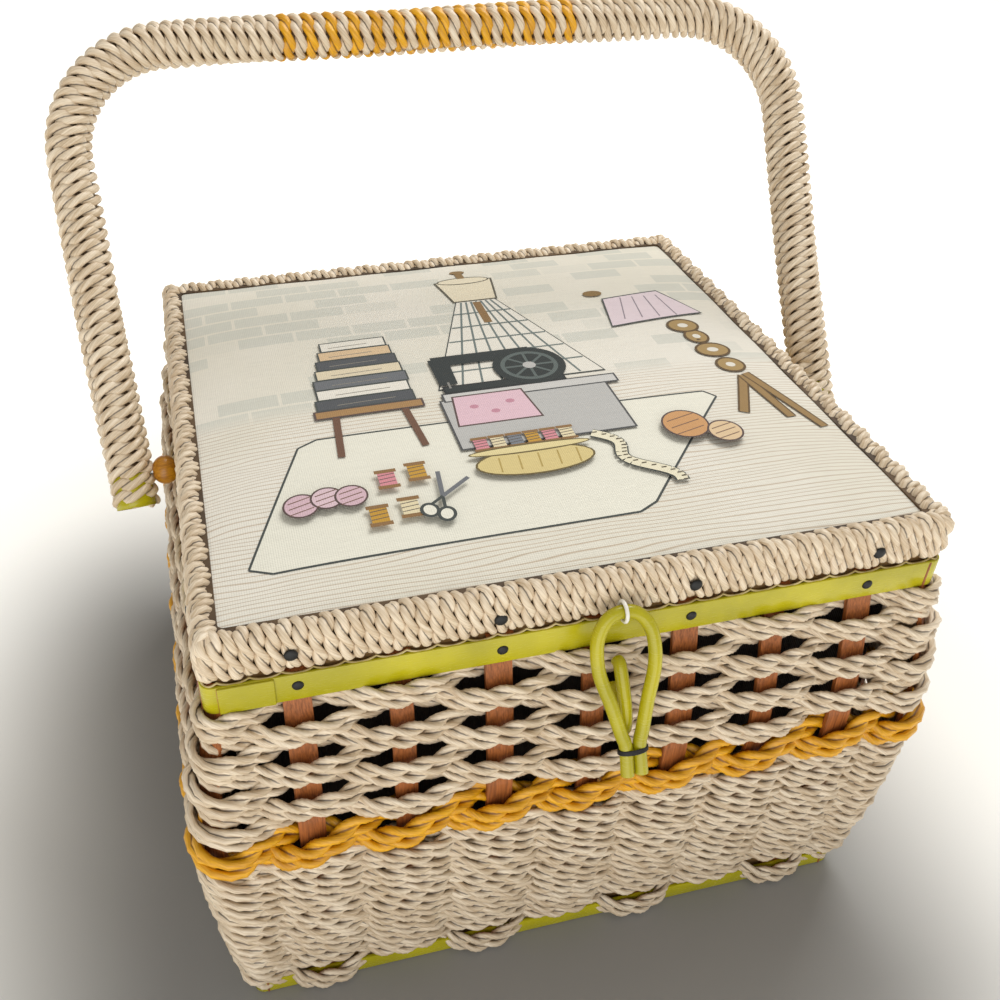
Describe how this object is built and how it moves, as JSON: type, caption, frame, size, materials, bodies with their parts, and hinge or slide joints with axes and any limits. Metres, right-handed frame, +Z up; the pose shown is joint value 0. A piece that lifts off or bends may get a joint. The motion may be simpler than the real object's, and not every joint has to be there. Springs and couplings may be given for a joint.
{
  "type": "sewing box with trays",
  "caption": "Square woven sewing basket with a padded cloth lid on back hinges, a loop-and-peg latch, a swinging wrapped bail handle and stacked lift-out trays.",
  "frame": {"origin": "the middle of the base board's underside, on the surface that the basket stands on", "axes": "+Z up, +X to the right along the front, +Y from the front to the hinges at the back"},
  "size_m": [0.3542, 0.3137, 0.3457],
  "materials": {
    "paper_cord": "flat twisted paper cord, warm beige with grey shade in the twist, soft sheen",
    "ochre_cord": "two-ply twisted cord dyed ochre yellow, slightly glossy",
    "lime_plastic": "glossy yellow-green plastic strip and tube",
    "stave_wood": "thin red-brown stained wood strip, satin",
    "pale_wood": "unstained softwood or plywood, satin",
    "ochre_wood": "turned wooden bead, ochre lacquer",
    "printed_cloth": null,
    "lining_cloth": "plain cream cotton lining, matt",
    "velvet": "ochre velvet pincushion cover",
    "tray_plastic": "ivory moulded plastic, satin gloss",
    "brass": "brassed steel, slightly worn",
    "steel": "plain steel wire and pins",
    "white_plastic": "white plastic-coated wire"
  },
  "bodies": {
    "basket": {"stave_front_1": "stave_wood", "stave_front_2": "stave_wood", "stave_front_3": "stave_wood", "stave_front_4": "stave_wood", "stave_front_5": "stave_wood", "stave_front_6": "stave_wood", "stave_front_7": "stave_wood", "stave_right_1": "stave_wood", "stave_right_2": "stave_wood", "stave_right_3": "stave_wood", "stave_right_4": "stave_wood", "stave_right_5": "stave_wood", "stave_right_6": "stave_wood", "stave_right_7": "stave_wood", "stave_back_1": "stave_wood", "stave_back_2": "stave_wood", "stave_back_3": "stave_wood", "stave_back_4": "stave_wood", "stave_back_5": "stave_wood", "stave_back_6": "stave_wood", "stave_back_7": "stave_wood", "stave_left_1": "stave_wood", "stave_left_2": "stave_wood", "stave_left_3": "stave_wood", "stave_left_4": "stave_wood", "stave_left_5": "stave_wood", "stave_left_6": "stave_wood", "stave_left_7": "stave_wood", "lower_weave": "paper_cord", "braid_band": "ochre_cord", "upper_weave": "paper_cord", "rim_band": "lime_plastic", "rim_hoop": "pale_wood", "base_rim": "lime_plastic", "base_board": "pale_wood", "lining": "lining_cloth", "tray_ledge": "pale_wood", "hinge_body_leaf_left": "brass", "hinge_body_leaf_right": "brass", "hinge_pin_left": "steel", "hinge_pin_right": "steel", "pivot_pin_left": "steel", "pivot_pin_right": "steel", "pivot_bead_left": "ochre_wood", "pivot_bead_right": "ochre_wood", "latch_peg": "lime_plastic"},
    "lid": {"lid_wrap": "paper_cord", "lid_frame": "pale_wood", "lid_board": "pale_wood", "lid_pad": "printed_cloth", "lid_lining": "lining_cloth", "pincushion": "velvet", "hinge_lid_leaf_left": "brass", "hinge_lid_leaf_right": "brass", "latch_ring": "white_plastic"},
    "latch": {"latch_loop": "lime_plastic"},
    "handle": {"handle_core": "lime_plastic", "handle_wrap": "paper_cord"},
    "tray_upper": {"tray_upper": "tray_plastic"},
    "tray_lower": {"tray_lower": "tray_plastic"}
  },
  "joints": [
    {"name": "lid_open", "type": "hinge", "parent": "basket", "child": "lid", "pos_m": [0, 0.1349, 0.19565], "axis": [-1, 0, 0], "range_deg": [0, 65]},
    {"name": "latch_swing", "type": "hinge", "parent": "lid", "child": "latch", "pos_m": [0.006, -0.1367, 0.2035], "axis": [-1, 0, 0], "range_deg": [0, 150]},
    {"name": "handle_swing", "type": "hinge", "parent": "basket", "child": "handle", "pos_m": [0, 0.0015, 0.1915], "axis": [-1, 0, 0], "range_deg": [-129, 61]},
    {"name": "tray_upper_lift", "type": "slide", "parent": "basket", "child": "tray_upper", "axis": [0, 0, 1], "range_m": [0, 0.013]},
    {"name": "tray_lower_lift", "type": "slide", "parent": "basket", "child": "tray_lower", "axis": [0, 0, 1], "range_m": [0, 0.009]}
  ]
}
